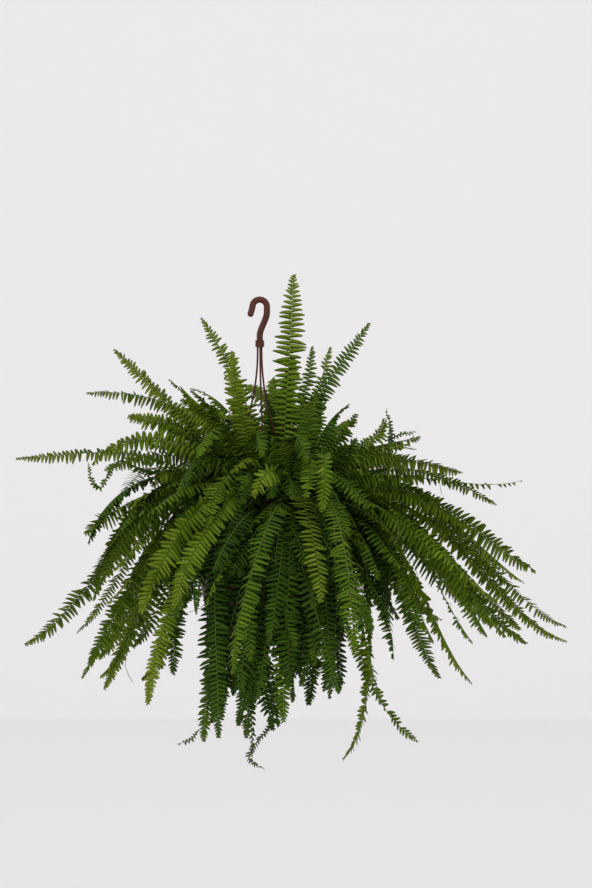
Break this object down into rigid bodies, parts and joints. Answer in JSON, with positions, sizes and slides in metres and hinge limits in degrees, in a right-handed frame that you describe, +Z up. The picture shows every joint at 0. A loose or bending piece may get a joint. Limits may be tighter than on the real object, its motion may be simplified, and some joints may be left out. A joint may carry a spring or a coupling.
{
  "type": "fern in hanging pot",
  "caption": "Leafy arching fern in a round plastic hanging pot, held up by thin strands that meet at a swan-necked hook.",
  "frame": {"origin": "the inside of the hook's bend, where the hook rests on the rail or ceiling hook that holds it", "axes": "+Z up, with the pot straight below on -Z; +X to the right, along the plane of the hook; -Y is the front of the plant"},
  "size_m": [0.8397, 0.6855, 0.7084],
  "materials": {
    "hanger_plastic": "satin moulded red-brown plastic",
    "pot_plastic": "matt moulded red-brown plastic",
    "soil": "damp crumbly peat",
    "crown_stem": "fibrous brown stems",
    "fern_leaf": "soft satin leaf, dark to yellow green"
  },
  "bodies": {
    "root": {"hanger_hook": "hanger_plastic", "hanger_collar": "hanger_plastic", "hanger_strand_1": "hanger_plastic", "rim_clip_1": "hanger_plastic", "hanger_strand_2": "hanger_plastic", "rim_clip_2": "hanger_plastic", "hanger_strand_3": "hanger_plastic", "rim_clip_3": "hanger_plastic", "pot": "pot_plastic", "root_ball": "soil", "crown": "crown_stem", "frond_01": "fern_leaf", "frond_02": "fern_leaf", "frond_03": "fern_leaf", "frond_04": "fern_leaf", "frond_05": "fern_leaf", "frond_06": "fern_leaf", "frond_07": "fern_leaf", "frond_08": "fern_leaf", "frond_09": "fern_leaf", "frond_10": "fern_leaf", "frond_11": "fern_leaf", "frond_12": "fern_leaf", "frond_13": "fern_leaf", "frond_14": "fern_leaf", "frond_15": "fern_leaf", "frond_16": "fern_leaf", "frond_17": "fern_leaf", "frond_18": "fern_leaf", "frond_19": "fern_leaf", "frond_20": "fern_leaf", "frond_21": "fern_leaf", "frond_22": "fern_leaf", "frond_23": "fern_leaf", "frond_24": "fern_leaf", "frond_25": "fern_leaf", "frond_26": "fern_leaf", "frond_27": "fern_leaf", "frond_28": "fern_leaf", "frond_29": "fern_leaf", "frond_30": "fern_leaf", "frond_31": "fern_leaf", "frond_32": "fern_leaf", "frond_33": "fern_leaf", "frond_34": "fern_leaf", "frond_35": "fern_leaf", "frond_36": "fern_leaf", "frond_37": "fern_leaf", "frond_38": "fern_leaf", "frond_39": "fern_leaf", "frond_40": "fern_leaf", "frond_41": "fern_leaf", "frond_42": "fern_leaf", "frond_43": "fern_leaf", "frond_44": "fern_leaf", "frond_45": "fern_leaf", "frond_46": "fern_leaf", "frond_47": "fern_leaf", "frond_48": "fern_leaf", "frond_49": "fern_leaf"}
  },
  "joints": []
}
